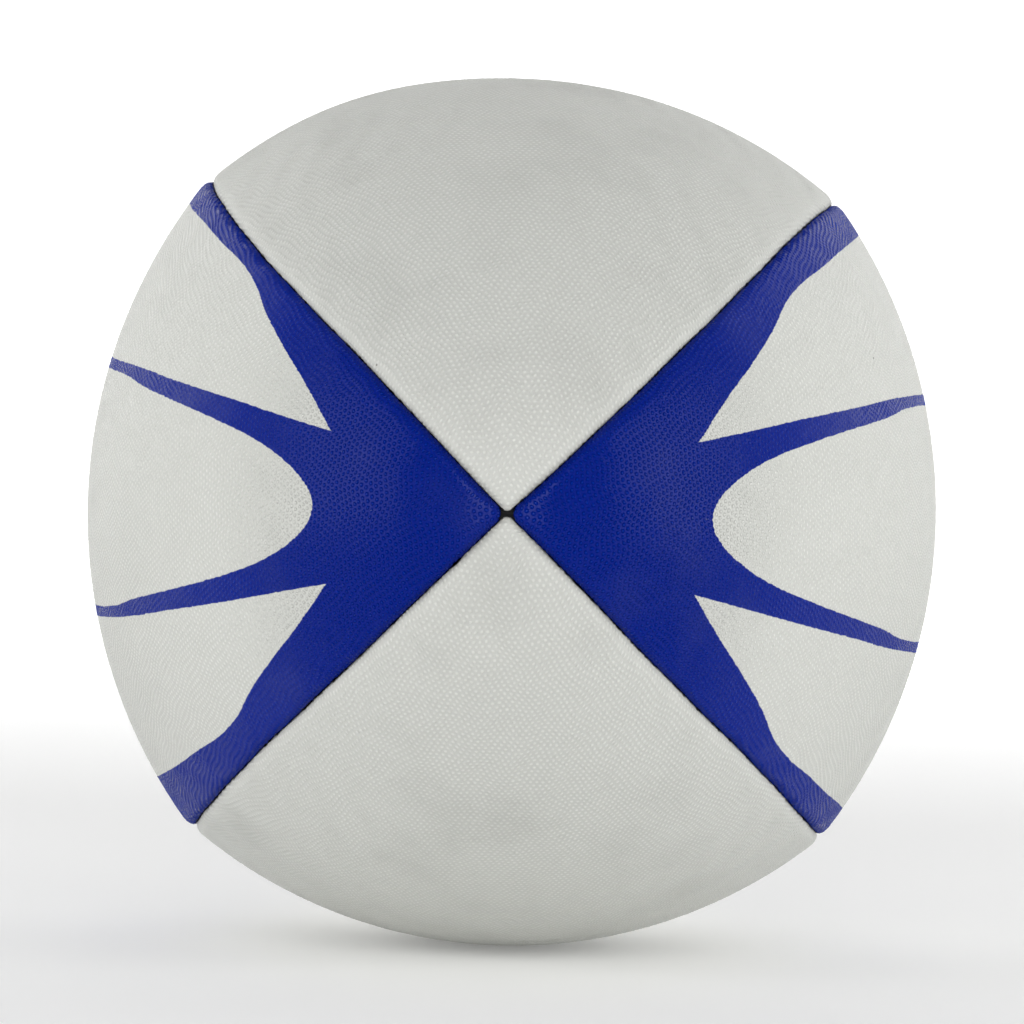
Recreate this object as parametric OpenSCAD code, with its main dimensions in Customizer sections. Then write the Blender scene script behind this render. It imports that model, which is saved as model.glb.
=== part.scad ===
// Rugby ball, junior size 4: four stitched rubber panels on woven plies, with a bladder and a valve.
// Origin at the middle of the ball. The long axis is Y, +Z is the panel that carries the valve.
// A panel is worked out in its own frame: the ball's axis along Z and the panel's middle along +X.

/* [Ball] */
// Length from tip to tip
ball_length = 275; // [262:1:290]
// Diameter across the middles of the two plain panels
plain_diameter = 176.4; // [175:0.2:177]
// Diameter across the middles of the two printed panels, which lie a little flatter
printed_diameter = 172.6; // [172:0.2:174]
// Diameter across two facing seams, which squares the ball's section a little
seam_diameter = 179; // [178.4:0.2:180]
// Radius of the plain panels' rounded tips
plain_tip_radius = 45; // [43:0.5:47]
// Radius of the printed panels' rounded tips
printed_tip_radius = 42.5; // [41:0.5:44]

/* [Panels] */
// Thickness of the moulded rubber skin
skin_t = 0.9; // [0.7:0.1:1.2]
// Thickness of one woven ply
ply_t = 0.35; // [0.25:0.05:0.45]
// How deep a panel's edges are turned in at the seams
flange_depth = 7; // [6:0.5:8]
// Width of the valley that the turned-in edges leave along a seam
valley_w = 3.2; // [2:0.2:4]
// Depth of that valley
valley_depth = 1; // [0.6:0.1:1]

/* [Stitching] */
// Diameter of the waxed thread
thread_d = 0.8; // [0.6:0.1:1]
// Distance from one stitch to the next
stitch_pitch = 6; // [5:0.5:10]
// Depth of the stitching below the surface
stitch_depth = 4.2; // [3.5:0.1:5]

/* [Bladder] */
// Thickness of the bladder's wall
bladder_wall = 0.6; // [0.5:0.1:0.8]
// Space between the bladder and what is round it
bladder_gap = 0.1; // [0.1:0.1:0.3]

/* [Valve] */
// Diameter of the fabric patch behind the valve
patch_d = 44; // [36:1:56]
// Thickness of that patch
patch_t = 0.5; // [0.3:0.1:0.6]
// Diameter of the housing's flange inside the bladder
valve_flange_d = 28; // [24:1:32]
// Thickness of that flange
valve_flange_t = 1.4; // [1:0.1:2]
// Diameter of the housing's tube and nose
valve_tube_d = 9.2; // [8.6:0.1:10]
// Length of the housing from its nose to its inner end
valve_len = 21; // [19:0.5:24]
// How far the nose stays below the skin's surface
nose_depth = 0.5; // [0.3:0.1:0.8]
// Diameter of the plug's head
plug_head_d = 7.2; // [6.8:0.1:7.4]
// Thickness of the plug's head
plug_head_t = 1.5; // [1.2:0.1:2]
// Diameter of the plug's shank
plug_d = 5.5; // [5:0.1:5.8]
// Length of the plug below its head
plug_shank = 17; // [14:0.5:18]
// Clearance round the plug in its housing
plug_clear = 0.04; // [0.03:0.01:0.08]
// Diameter of the hole that guides an inflating needle
needle_d = 2.2; // [2:0.1:2.4]
// Length of that hole
needle_len = 12; // [10:0.5:13]

/* [Hidden] */
$fn = 128;

// Each panel's name, direction from the ball's axis in degrees from +X towards +Z, radius and tip radius
PANELS = [
    ["right", 0, printed_diameter / 2, printed_tip_radius],
    ["top", 90, plain_diameter / 2, plain_tip_radius],
    ["left", 180, printed_diameter / 2, printed_tip_radius],
    ["bottom", 270, plain_diameter / 2, plain_tip_radius],
];
TOP = PANELS[1];
PLIES = ["outer", "middle", "inner"];
SEAMS = [["top_right", 45], ["top_left", 135], ["bottom_left", 225], ["bottom_right", 315]];
SKIN_COLOUR = "gainsboro";
PRINT_COLOUR = "royalblue";
PLY_COLOUR = "wheat";

half_l = ball_length / 2;
seam_r = seam_diameter / 2;
wall_t = skin_t + len(PLIES) * ply_t;
beyond = ball_length;

// The tip arcs stand this much proud, so that they cross the long arc cleanly where the two meet
crossing = 0.005;

// A panel's outline is one long arc, with a smaller arc at each tip that it runs into smoothly
function tip_y(p) = half_l - p[3];
function long_r(p) = (p[2]^2 + tip_y(p)^2 - p[3]^2) / (2 * (p[2] - p[3]));
function join_angle(p) = asin(tip_y(p) / (long_r(p) - p[3]));

// How far past the ball's axis a panel is centred, so that it meets its neighbours at seam_r
function offset_r(p) = (seam_r^2 - p[2]^2) / (2 * p[2] - sqrt(2) * seam_r);

bladder_depth = wall_t + patch_t + bladder_gap;
bladder_side = wall_t + thread_d + 2 * bladder_gap;
bladder_core = flange_depth + bladder_gap;
nose_z = TOP[2] - nose_depth;
hole_d = valve_tube_d + 0.2;
thread_side = wall_t + thread_d / 4;
thread_sides = 8;
seam_rise = seam_r - TOP[2];

// Turns a panel's own frame so that its middle points a degrees from +X towards +Z
module facing(a) { rotate([-90, 0, 0]) rotate([0, 0, -a]) children(); }

// Half of a panel's outline, inset by depth, ready to be turned about a line that lies e past the ball's axis
module outline(p, depth, e) {
    join_y = tip_y(p) + (p[3] - depth) * sin(join_angle(p));
    intersection() {
        translate([e + p[2] - long_r(p), 0]) circle(long_r(p) - depth);
        translate([0, -join_y]) square([beyond, 2 * join_y]);
    }
    intersection() {
        union() for (s = [-1, 1]) translate([e, s * tip_y(p)]) circle(p[3] - depth + crossing);
        translate([0, -beyond]) square([beyond, 2 * beyond]);
    }
    if (e > 0) translate([0, depth - half_l]) square([e, 2 * (half_l - depth)]);
}

// A panel's curved block, inset by depth
module block(p, depth) {
    translate([-offset_r(p), 0, 0])
        rotate_extrude(angle = 120, start = -60) outline(p, depth, offset_r(p));
}

// The space between a panel's two seams, inset by side from each
module wedge(side) {
    translate([side * sqrt(2), 0, 0]) linear_extrude(height = 2 * beyond, center = true)
        polygon([[0, 0], [beyond, beyond], [beyond, -beyond]]);
}

// What lies in a panel deeper than depth and further than side from both its seams
module core(p, depth, side) { intersection() { block(p, depth); wedge(side); } }

// One layer of a panel, with its edges turned in along the seams
module layer(p, depth, thickness) {
    difference() {
        core(p, depth, depth);
        core(p, depth + thickness, depth + thickness);
        block(p, flange_depth);
    }
}

// A round hole through a panel's middle
module valve_hole(d) {
    translate([seam_r / 2, 0, 0]) rotate([0, 90, 0]) cylinder(h = seam_r, d = d);
}

// The valley along a panel's seam, in a frame with the seam along +X: a long arc, then a smaller arc to each tip
module seam_valley(p) {
    lip = 1;
    half_w = valley_w / 2 * (1 + lip / valley_depth);
    tip_sweep = 91 - join_angle(p);
    module vee() { polygon([[-valley_depth, 0], [lip, half_w], [lip, -half_w]]); }
    rotate([90, 0, 0]) {
        translate([p[2] - long_r(p), 0, 0])
            rotate_extrude(angle = 2 * join_angle(p), start = -join_angle(p))
                translate([long_r(p) + seam_r - p[2], 0]) vee();
        for (s = [0, 1]) mirror([0, s, 0]) translate([0, tip_y(p), 0])
            rotate_extrude(angle = tip_sweep, start = 90 - tip_sweep)
                translate([p[3] + seam_rise / 4, 0]) vee();
    }
}

module skin(p) {
    color(p[1] % 180 == 0 ? PRINT_COLOUR : SKIN_COLOUR) facing(p[1]) difference() {
        layer(p, 0, skin_t);
        for (s = [-1, 1]) rotate([0, 0, s * 45]) seam_valley(p);
        if (p == TOP) valve_hole(hole_d);
    }
}

module ply(p, number) {
    color(PLY_COLOUR) facing(p[1]) difference() {
        layer(p, skin_t + number * ply_t, ply_t);
        if (p == TOP) valve_hole(hole_d);
    }
}

// Waxed thread down both sides of a seam's flanges, and through them at each stitch; wax and pull
// leave it facetted rather than round
module seam_thread(angle) {
    arc_r = long_r(TOP) + seam_rise - stitch_depth;
    step = stitch_pitch / arc_r * 180 / PI;
    stitches = floor((join_angle(TOP) - 2) / step);
    reach = (stitches + 0.5) * step;
    color("ivory") facing(angle) translate([TOP[2] - long_r(TOP), 0, 0]) rotate([90, 0, 0]) {
        for (s = [-1, 1]) translate([0, 0, s * thread_side])
            rotate_extrude(angle = 2 * reach, start = -reach) translate([arc_r, 0])
                rotate(180 / thread_sides) circle(d = thread_d, $fn = thread_sides);
        for (i = [-stitches : stitches]) rotate([0, 0, i * step]) translate([arc_r, 0, 0])
            cylinder(h = 2 * thread_side, d = thread_d * 0.6, center = true, $fn = thread_sides);
    }
}

// The space that the bladder fills: out to each panel, and in past their turned-in edges
module bladder_form(inset) {
    facing(0) rotate_extrude() outline(PANELS[0], bladder_core + inset, 0);
    for (p = PANELS) facing(p[1]) core(p, bladder_depth + inset, bladder_side + inset);
}

module bladder() {
    color("black") difference() {
        bladder_form(0);
        bladder_form(bladder_wall);
        facing(90) valve_hole(hole_d);
    }
}

module valve_patch() {
    color("tan") facing(90) difference() {
        intersection() {
            difference() { block(TOP, wall_t); block(TOP, wall_t + patch_t); }
            valve_hole(patch_d);
        }
        valve_hole(hole_d);
    }
}

// The rubber housing: a flange bonded inside the bladder, with a tube that the plug sits in
module valve_housing() {
    color("dimgray") difference() {
        union() {
            facing(90) intersection() {
                difference() {
                    block(TOP, bladder_depth + bladder_wall);
                    block(TOP, bladder_depth + bladder_wall + valve_flange_t);
                }
                valve_hole(valve_flange_d);
            }
            translate([0, 0, nose_z - valve_len]) cylinder(h = valve_len, d = valve_tube_d);
        }
        translate([0, 0, nose_z - valve_len - 1]) cylinder(h = valve_len + 2, d = plug_d + 2 * plug_clear);
        translate([0, 0, nose_z - plug_head_t]) cylinder(h = plug_head_t + 1, d = plug_head_d + 2 * plug_clear);
    }
}

// The push-in plug that seals round a needle; its waist is grooved and its lower end is rounded
module valve_plug() {
    r = plug_d / 2;
    waist = 0.4;
    color("darkslategray") difference() {
        translate([0, 0, nose_z - plug_head_t]) rotate_extrude() difference() {
            union() {
                square([plug_head_d / 2, plug_head_t]);
                translate([0, -plug_shank]) square([r, plug_shank]);
            }
            translate([r - waist, -plug_shank * 0.6]) square([waist + 1, plug_shank * 0.3]);
            translate([0, -plug_shank]) polygon([[r - 0.8, 0], [r + 1, 0], [r + 1, 1.8]]);
        }
        translate([0, 0, nose_z - needle_len]) cylinder(h = needle_len + 1, d = needle_d);
    }
}

for (p = PANELS) {
    skin(p);
    for (k = [0 : len(PLIES) - 1])
        ply(p, k);
}
for (s = SEAMS)
    seam_thread(s[1]);
bladder();
valve_patch();
valve_housing();
valve_plug();
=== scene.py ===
# %% [markdown]
# # A rugby ball
# This lesson dresses a rugby ball, whose solids are already designed, in rubber, cloth and thread.
# The ball is a junior size: 275 mm long, with four panels that meet in turned-in seams.
# The camera looks straight at one tip, so the four seams make a cross.
# The first cell loads the solids. They never move, and every piece made here is fitted to them.

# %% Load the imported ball
import math

import bmesh
import bpy
import mathutils
import numpy as np
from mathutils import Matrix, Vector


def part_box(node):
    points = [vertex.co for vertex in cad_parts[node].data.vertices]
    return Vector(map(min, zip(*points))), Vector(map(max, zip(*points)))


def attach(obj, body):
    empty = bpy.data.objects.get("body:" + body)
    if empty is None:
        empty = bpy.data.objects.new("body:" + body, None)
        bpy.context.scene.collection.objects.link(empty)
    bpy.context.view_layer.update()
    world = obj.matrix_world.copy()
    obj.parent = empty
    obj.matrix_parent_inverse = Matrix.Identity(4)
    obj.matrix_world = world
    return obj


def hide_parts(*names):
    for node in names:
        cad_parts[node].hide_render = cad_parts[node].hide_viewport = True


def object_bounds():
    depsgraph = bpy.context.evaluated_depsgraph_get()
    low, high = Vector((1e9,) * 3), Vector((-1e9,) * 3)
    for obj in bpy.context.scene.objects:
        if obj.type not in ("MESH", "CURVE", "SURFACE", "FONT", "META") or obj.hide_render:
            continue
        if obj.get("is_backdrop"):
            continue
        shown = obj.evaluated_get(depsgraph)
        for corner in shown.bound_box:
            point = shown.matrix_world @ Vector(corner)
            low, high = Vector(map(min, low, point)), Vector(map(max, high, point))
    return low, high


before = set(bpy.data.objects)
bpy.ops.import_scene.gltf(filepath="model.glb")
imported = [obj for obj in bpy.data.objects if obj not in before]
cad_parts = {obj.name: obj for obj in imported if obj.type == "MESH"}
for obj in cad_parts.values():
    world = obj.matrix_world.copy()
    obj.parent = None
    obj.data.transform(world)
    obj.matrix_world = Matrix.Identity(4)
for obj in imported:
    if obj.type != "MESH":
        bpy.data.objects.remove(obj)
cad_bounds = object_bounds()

MM = 0.001
print("the solids reach from", cad_bounds[0], "to", cad_bounds[1])

# %% [markdown]
# ## The camera
# A small object looks natural through a long lens from about a metre away, because a near camera
# makes the middle bulge. The ball was set down turned a little, so the camera rolls by that much.
# The camera has no depth of field, so every pimple stays sharp from the tip to the edge.

# %% The camera
scene = bpy.context.scene
CAMERA_DISTANCE = 1.15
CAMERA_SIDE = 0.38
CAMERA_RISE = 0.15
CAMERA_ROLL = 1.6
LENS = 197.2


def aim(thing, target=(0, 0, 0), roll=0.0):
    """Turns a camera or a light so that it looks at target."""
    way = mathutils.Vector(target) - thing.location
    turn = way.to_track_quat("-Z", "Y") @ mathutils.Quaternion((0, 0, 1), roll)
    thing.rotation_euler = turn.to_euler()


camera = bpy.data.objects.new("camera", bpy.data.cameras.new("camera"))
scene.collection.objects.link(camera)
side, rise = math.radians(CAMERA_SIDE), math.radians(CAMERA_RISE)
camera.location = CAMERA_DISTANCE * mathutils.Vector(
    (math.sin(side) * math.cos(rise), -math.cos(side) * math.cos(rise), math.sin(rise)))
aim(camera, roll=math.radians(CAMERA_ROLL))
camera.data.lens = LENS
camera.data.clip_end = 20
scene.camera = camera
print("camera at", tuple(round(v, 3) for v in camera.location))

# %% [markdown]
# ## Helpers for materials and meshes
# Colours are picked as sRGB hex codes, as in a paint program, but a shader works in linear light.
# Materials are node trees. One function adds any kind of node, so a tree reads as a list of steps.
# Meshes are made from lists of corners, because then every place on them is known in millimetres.

# %% One function for colours and one for nodes
def linear(code, alpha=1.0):
    """An sRGB hex colour as the linear values that a shader takes."""
    parts = [int(code[i:i + 2], 16) / 255 for i in (1, 3, 5)]
    return tuple(c / 12.92 if c <= 0.04045 else ((c + 0.055) / 1.055) ** 2.4 for c in parts) + (alpha,)


def add(tree, kind, inputs={}, **settings):
    """Adds a node. An input is a value, a hex colour, or a node or one of its outputs to link."""
    node = tree.nodes.new("ShaderNode" + kind)
    for name, value in settings.items():
        setattr(node, name, value)
    for socket, value in inputs.items():
        value = value.outputs[0] if isinstance(value, bpy.types.Node) else value
        value = linear(value) if isinstance(value, str) else value
        if isinstance(value, bpy.types.NodeSocket):
            tree.links.new(value, node.inputs[socket])
        else:
            node.inputs[socket].default_value = value
    return node


def new_material(name):
    """An empty material, with its shader already joined to its output."""
    material = bpy.data.materials.new(name)
    material.use_nodes = True
    tree = material.node_tree
    tree.nodes.clear()
    shader = add(tree, "BsdfPrincipled")
    add(tree, "OutputMaterial", {"Surface": shader.outputs[0]})
    return material, tree, shader

# %% A mesh from lists of corners and faces
def make_piece(name, corners, faces, smooth=True):
    """A closed mesh piece in metres from corners in millimetres, with its faces turned outwards."""
    mesh = bpy.data.meshes.new(name)
    mesh.from_pydata((np.asarray(corners, float) * MM).tolist(), [], faces)
    work = bmesh.new()
    work.from_mesh(mesh)
    bmesh.ops.recalc_face_normals(work, faces=work.faces)
    work.to_mesh(mesh)
    work.free()
    mesh.polygons.foreach_set("use_smooth", [smooth] * len(mesh.polygons))
    piece = bpy.data.objects.new(name, mesh)
    scene.collection.objects.link(piece)
    return piece


def carry(piece, label, values):
    """Stores values for each corner on the piece, so that its material can read them."""
    place = piece.data.attributes.new(label, "FLOAT_VECTOR", "POINT")
    place.data.foreach_set("vector", np.concatenate(values).astype(np.float32).ravel())


def ring_faces(count, steps):
    """Faces that join rings of corners in turn, and the last ring back to the first."""
    return [(i * steps + j, i * steps + (j + 1) % steps,
             (i + 1) % count * steps + (j + 1) % steps, (i + 1) % count * steps + j)
            for i in range(count) for j in range(steps)]

# %% [markdown]
# ## The floor
# A photographer's cove is one sheet of paper that lies flat and then bends up into a wall, so no
# corner shows. Here it is one mesh. Matt paper has no glint, only soft shadow. It glows a little,
# and more with distance, which stands for the bright white room that a real cove reflects.

# %% The floor and the backdrop
FLOOR_Z = cad_bounds[0][2] - 0.0004
COVE_FRONT = -6.0
COVE_BACK = 2.9
COVE_RADIUS = 0.7
COVE_HALF = 6.0
COVE_TOP = 4.0
COVE_STEPS = 12
GLOW_NEAR, GLOW_FAR = (0.5, 0.12), (2.6, 0.75)


def cove():
    """A floor that bends up into a wall behind the ball, as one sheet."""
    path = [(COVE_FRONT, 0.0), (COVE_BACK - COVE_RADIUS, 0.0)]
    for i in range(1, COVE_STEPS + 1):
        turn = math.radians(90 * i / COVE_STEPS)
        back = COVE_BACK - COVE_RADIUS + COVE_RADIUS * math.sin(turn)
        path.append((back, COVE_RADIUS * (1 - math.cos(turn))))
    path.append((COVE_BACK, COVE_TOP))
    corners = [(x, y, FLOOR_Z + z) for y, z in path for x in (-COVE_HALF, COVE_HALF)]
    faces = [(2 * i, 2 * i + 1, 2 * i + 3, 2 * i + 2) for i in range(len(path) - 1)]
    mesh = bpy.data.meshes.new("cove")
    mesh.from_pydata(corners, [], faces)
    mesh.polygons.foreach_set("use_smooth", [True] * len(mesh.polygons))
    sheet = bpy.data.objects.new("cove", mesh)
    scene.collection.objects.link(sheet)
    return sheet


floor = cove()
paper, tree, shader = new_material("matt_white_backdrop_paper")
shader.inputs["Base Color"].default_value = linear("#FBFBFA")
shader.inputs["Roughness"].default_value = 0.9
shader.inputs["Emission Color"].default_value = linear("#FFFFFF")
away = add(tree, "VectorMath", {0: add(tree, "TexCoord").outputs["Object"]}, operation="LENGTH")
glow = add(tree, "MapRange", {0: away.outputs["Value"], 1: GLOW_NEAR[0], 2: GLOW_FAR[0],
                              3: GLOW_NEAR[1], 4: GLOW_FAR[1]})
tree.links.new(glow.outputs[0], shader.inputs["Emission Strength"])
floor.data.materials.append(paper)
floor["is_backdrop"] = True
print("the floor is", round(-FLOOR_Z / MM, 1), "mm below the ball's middle")

# %% [markdown]
# ## The light
# Small lights would draw hard shadows and hide the pimples' shape. Two large soft boxes at the sides
# graze the surface, so that each pimple has a light and a dark side, and one in front fills the
# middle. A pale world around them lifts the shadows.

# %% The lights
def soft_box(name, place, size, power):
    """A square area light that looks at the ball."""
    light = bpy.data.objects.new(name, bpy.data.lights.new(name, "AREA"))
    light.data.shape = "SQUARE"
    light.data.size = size
    light.data.energy = power
    light.location = place
    light.visible_camera = False
    aim(light)
    scene.collection.objects.link(light)
    return light


soft_box("side_left", (-1.65, -0.5, 0.15), 1.3, 13.5)
soft_box("side_right", (1.65, -0.5, 0.15), 1.3, 15)
soft_box("front", (0.0, -2.2, 0.5), 1.0, 18)
WORLD_STRENGTH = 0.32
world = bpy.data.worlds.new("studio")
scene.world = world
world.use_nodes = True
world.node_tree.nodes["Background"].inputs["Color"].default_value = linear("#FDFDFF")
world.node_tree.nodes["Background"].inputs["Strength"].default_value = WORLD_STRENGTH
scene.view_settings.view_transform = "Standard"

# %% [markdown]
# ## The shape of a panel
# A panel is a gore, a long leaf that narrows to both tips. It is curved in both directions.
# Lengthwise it follows one long arc and a smaller arc at each tip. Crosswise it is a
# flatter arc than the ball's own radius, because the stiff seams hold the corners out.
# Rubber sheet is flat before it is stretched over the ball, so places on a panel are given as on
# the flat sheet: s runs lengthwise from the ball's middle, and t runs across from the panel's middle.

# %% The four panels
HALF_LENGTH = (cad_bounds[1][1] - cad_bounds[0][1]) / 2 / MM
SEAM_RADIUS = 91.3
TIP_RADIUS = {"top": 45.0, "bottom": 45.0, "right": 42.5, "left": 42.5}
SWELL = 0.011
SWELL_AT = math.radians(114)
SWELL_WIDTH = math.radians(16)
DIRECTION = {"right": 0, "top": 90, "left": 180, "bottom": 270}


class Panel:
    """A panel's measures, in millimetres, worked out from where its solid reaches."""

    def __init__(self, name):
        self.name = name
        self.turn = math.radians(DIRECTION[name])
        low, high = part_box("skin_" + name)
        axis = 0 if name in ("right", "left") else 2
        self.mid = max(abs(low[axis]), abs(high[axis])) / MM
        self.tip = TIP_RADIUS[name]
        self.tip_y = HALF_LENGTH - self.tip
        self.long = (self.mid ** 2 + self.tip_y ** 2 - self.tip ** 2) / (2 * (self.mid - self.tip))
        self.join = math.asin(self.tip_y / (self.long - self.tip))
        self.offset = (SEAM_RADIUS ** 2 - self.mid ** 2) / (2 * self.mid - math.sqrt(2) * SEAM_RADIUS)
        self.half = self.long * self.join + self.tip * (math.pi / 2 - self.join)

    def outline(self, s):
        """Radius, place along the ball and slope at s along the panel's middle line."""
        s = np.asarray(s, float)
        far = np.abs(s)
        lean = np.where(far < self.long * self.join, far / self.long,
                        self.join + (far - self.long * self.join) / self.tip)
        in_tip = far >= self.long * self.join
        radius = np.where(in_tip, self.tip * np.cos(lean), self.mid - self.long + self.long * np.cos(lean))
        y = np.where(in_tip, self.tip_y + self.tip * np.sin(lean), self.long * np.sin(lean))
        return radius, y * np.sign(s), lean * np.sign(s)

    def half_width(self, s):
        """How far the seam is from the panel's middle, along the surface."""
        reach = self.outline(s)[0] + self.offset
        return reach * (np.arccos(np.clip(self.offset / (reach * math.sqrt(2)), -1, 1)) - math.pi / 4)

    def place(self, s, t, depth):
        """The point at s, t on the surface, and depth below it."""
        radius, y, lean = self.outline(s)
        reach = radius + self.offset
        turn = t / reach
        out = np.stack([np.cos(lean) * np.cos(turn), np.cos(lean) * np.sin(turn), np.sin(lean)], -1)
        u = reach * np.cos(turn) - self.offset - depth * out[..., 0]
        v = reach * np.sin(turn) - depth * out[..., 1]
        y = y - depth * out[..., 2]
        c, k = math.cos(self.turn), math.sin(self.turn)
        x, z = u * c - v * k, u * k + v * c
        swell = 1 + SWELL * np.exp(-((np.arctan2(z, x) - SWELL_AT) / SWELL_WIDTH) ** 2)
        return np.stack([x * swell, y, z * swell], -1)


panels = {name: Panel(name) for name in DIRECTION}
for panel in panels.values():
    print(f"{panel.name}: radius {panel.mid:.1f} mm, long arc {panel.long:.1f} mm, "
          f"{2 * panel.half:.0f} mm from tip to tip, {2 * float(panel.half_width(0)):.0f} mm wide")

# %% [markdown]
# ## The moulded skins
# Rugby balls are covered in rubber sheet that was pressed in a mould full of tiny dimples, which
# leaves it covered in pimples for grip. The sheet is then cut into gores. A texture could only
# pretend to have pimples, so here each one is a corner of the mesh, lifted off the surface.
# The corners lie in a triangular net, and every third corner is a pimple's top. That is the
# cheapest net that gives each pimple its own ring of low corners round it. The rows of pimples run
# across the panel, and they are wavy, because the mould was etched from a drawing of leather grain.

# %% What the sheet measures
PIMPLE_PITCH = 1.17
PIMPLE_HEIGHT = 0.24
SKIN = 0.85
FLANGE = 7.0
ROLL = 4.2
SEAM_GAP = 0.04
STITCH = 6.0
NET = PIMPLE_PITCH / math.sqrt(3)
ROW = NET / 2
GRAIN_WAVE = 0.4
print(f"net of {NET:.2f} mm, so a pimple every {PIMPLE_PITCH} mm")

# %% [markdown]
# ## The seams
# Two panels are laid face to face, stitched a few millimetres in from the edge, and turned right
# side out. So at a seam each sheet bends through a right angle, over a small radius, and goes down
# into the ball. The thread pulls the edge in a little at every stitch. A hand holds the sheets while
# they are sewn, so a seam also wanders, and it bows by up to 2.5 mm at the ball's middle.

# %% Where the seams go
BOW = (0.15, 0.3, 0.3, 0.7)
SWAY = (0.65, 0.2, 0.1, 0.2)
HEEL = (1.0, -2.4, 2.0, -0.5)
HEEL_LENGTH = 50.0


def wander(seam, s):
    """How far a seam strays from its straight course, in millimetres, towards the higher angles."""
    fade = 1 - np.exp(-np.maximum(panels["top"].half - np.abs(s), 0) / 9)
    course = BOW[seam] + SWAY[seam] * np.sin((s + 118) / 27)
    course = course + HEEL[seam] * np.exp(-(s / HEEL_LENGTH) ** 2)
    return fade * (course + 0.12 * np.sin(s / 13 + 2.9 * seam) + 0.05 * np.sin(s / 4.3 + 4.1 * seam))


def edges(panel, s):
    """How far the seams on the lower and the higher side of a panel are from its middle."""
    width = panel.half_width(s)
    s = s / panel.half * panels["top"].half
    index = round(math.degrees(panel.turn) / 90)
    return width - wander((index - 1) % 4, s), width + wander(index, s)


def edge_roll(width):
    """The length of sheet in the rolled edge, which is less where the panel runs out at its tip."""
    return ROLL * np.clip(width / ROLL, 0.1, 1)


STEPS = np.linspace(0, 1, 201)
BEND = STEPS ** 2 * math.pi / 2
GONE_ACROSS = np.concatenate([[0], np.cumsum(np.cos((BEND[1:] + BEND[:-1]) / 2))]) / 200
GONE_DOWN = np.concatenate([[0], np.cumsum(np.sin((BEND[1:] + BEND[:-1]) / 2))]) / 200
REACH = GONE_ACROSS[-1]


def fold(panel, s, t, lift=0.0):
    """Bends the sheet over into its seams, and lifts pimples off it: place across, depth, bend, gap."""
    low, high = edges(panel, s)
    width = np.where(t < 0, low, high)
    roll = edge_roll(width)
    past = np.abs(t) - (width - REACH * roll)
    u = np.clip(past / roll, 0, 1)
    bend = u ** 2 * math.pi / 2
    depth = roll * np.interp(u, STEPS, GONE_DOWN) + np.maximum(past - roll, 0) - lift * np.cos(bend)
    radius, _, lean = panel.outline(s)
    turn = panel.half_width(s) / (radius + panel.offset)
    tilt = np.cos(lean) * np.sin(math.pi / 4 - turn)
    from_seam = roll * (REACH - np.interp(u, STEPS, GONE_ACROSS)) - lift * np.sin(bend)
    from_seam = np.maximum(from_seam, SEAM_GAP)
    across = np.where(past > 0, width - from_seam - depth * tilt / np.sqrt(1 - tilt ** 2), np.abs(t))
    return across * np.sign(t), depth, bend, np.where(past > 0, from_seam, width - np.abs(t))


def pucker(s, from_seam):
    """The pull of each stitch on the sheet beside the seam."""
    return 0.1 * (1 + np.cos(2 * math.pi * s / STITCH)) / 2 * np.exp(-(from_seam / 1.8) ** 2)

# %% [markdown]
# ## The tips
# The four sheets meet in a point at each tip. Each ends a little short of it and turns down, so a
# small dark hollow shows where they meet. The same roll as at the seams would be too big here.

# %% How a sheet ends at the ball's tip
TIP_GAP = {"top": 0.45, "bottom": 0.45, "right": 0.85, "left": 0.9}
TIP_ROLL = 0.9
TIP_DROP = 4.5


def tip_rows():
    """Steps that carry a sheet over its end and down into the hollow at the tip: along, and down."""
    bends = [math.radians(a) for a in (22, 45, 68, 90)]
    return ([(TIP_ROLL * math.sin(b), TIP_ROLL * (1 - math.cos(b))) for b in bends]
            + [(TIP_ROLL, TIP_ROLL + (TIP_DROP - TIP_ROLL) * i / 3) for i in (1, 2, 3)])


def sink(panel, s):
    """The shallow dip that all four sheets share round the tip."""
    radius = panel.outline(s)[0]
    return 0.6 * np.exp(-(radius / 4.5) ** 2)

# %% [markdown]
# ## From rows of corners to a mesh
# A panel narrows, so its rows hold different numbers of corners and a plain grid doesn't fit. The
# rows are joined like the two sides of a zip. Then long edges between neighbours in a row are
# turned, which leaves triangles that are nearly equal, and pimples that are round.

# %% Joining two rows of corners
def zip_rows(ids_a, at_a, ids_b, at_b):
    """Triangles between two rows of corners: two neighbours in one row, and one corner of the other."""
    faces, i, j = [], 0, 0
    while i < len(ids_a) - 1 or j < len(ids_b) - 1:
        step_a = i < len(ids_a) - 1 and (j == len(ids_b) - 1 or at_a[i + 1] < at_b[j + 1])
        if step_a:
            faces.append((ids_a[i], ids_a[i + 1], ids_b[j]))
            i += 1
        else:
            faces.append((ids_b[j], ids_b[j + 1], ids_a[i]))
            j += 1
    return faces


def turn_edges(faces, free):
    """Joins the corners above and below each pair of neighbours, so that triangles come out even."""
    over = {}
    for a, b, tip in faces:
        over.setdefault((a, b), []).append(tip)
    turned = []
    for (a, b), tips in over.items():
        if len(tips) == 2 and free[a] and free[b]:
            turned += [(tips[0], tips[1], a), (tips[1], tips[0], b)]
        else:
            turned += [(a, b, tip) for tip in tips]
    return turned


def wavy(s, t):
    """How far the mould's grain is bent out of straight rows, along and across."""
    ripple = np.sin(0.72 * t + 2.1 * np.sin(s / 9.7))
    along = GRAIN_WAVE * (ripple + 0.6 * np.sin(0.41 * t - s / 6.3 + 1))
    across = 0.75 * GRAIN_WAVE * np.sin(0.55 * s + 1.7 * np.sin(t / 8.3))
    return along, across

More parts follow.
